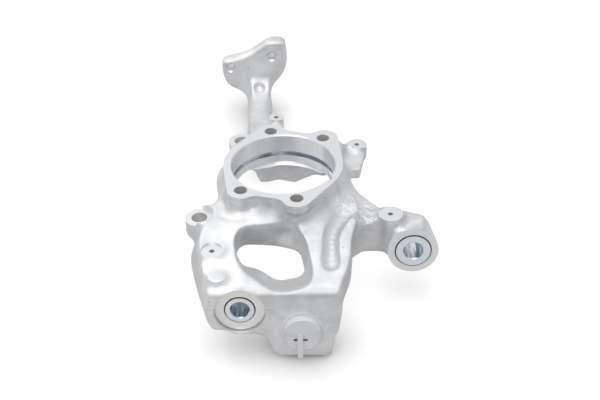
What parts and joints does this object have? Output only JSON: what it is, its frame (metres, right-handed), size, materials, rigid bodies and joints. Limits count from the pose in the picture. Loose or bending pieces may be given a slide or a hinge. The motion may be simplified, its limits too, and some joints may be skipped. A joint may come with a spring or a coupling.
{
  "type": "steering knuckle",
  "caption": "Cast aluminium steering knuckle with a wheel bearing flange, long arm with end plate, caliper ears and pressed-in bushes.",
  "frame": {"origin": "centre of the wheel bearing seat, on the machined flange face", "axes": "+Z along the wheel axis, out of the flange; +Y towards the end of the long arm; +X towards the arm with the side bush"},
  "size_m": [0.2383, 0.4171, 0.1213],
  "materials": {
    "cast_aluminium": "satin",
    "shell_steel": "satin",
    "bush_rubber": "matte",
    "sleeve_steel": "satin",
    "cap_plastic": "satin"
  },
  "bodies": {
    "root": {"knuckle_casting": "cast_aluminium", "lower_bush_shell": "shell_steel", "lower_bush_rubber": "bush_rubber", "lower_bush_sleeve": "sleeve_steel", "capped_bush_shell": "shell_steel", "capped_bush_rubber": "bush_rubber", "capped_bush_sleeve": "sleeve_steel", "side_bush_shell": "shell_steel", "side_bush_rubber": "bush_rubber", "side_bush_sleeve": "sleeve_steel", "transport_cap": "cap_plastic"}
  },
  "joints": []
}
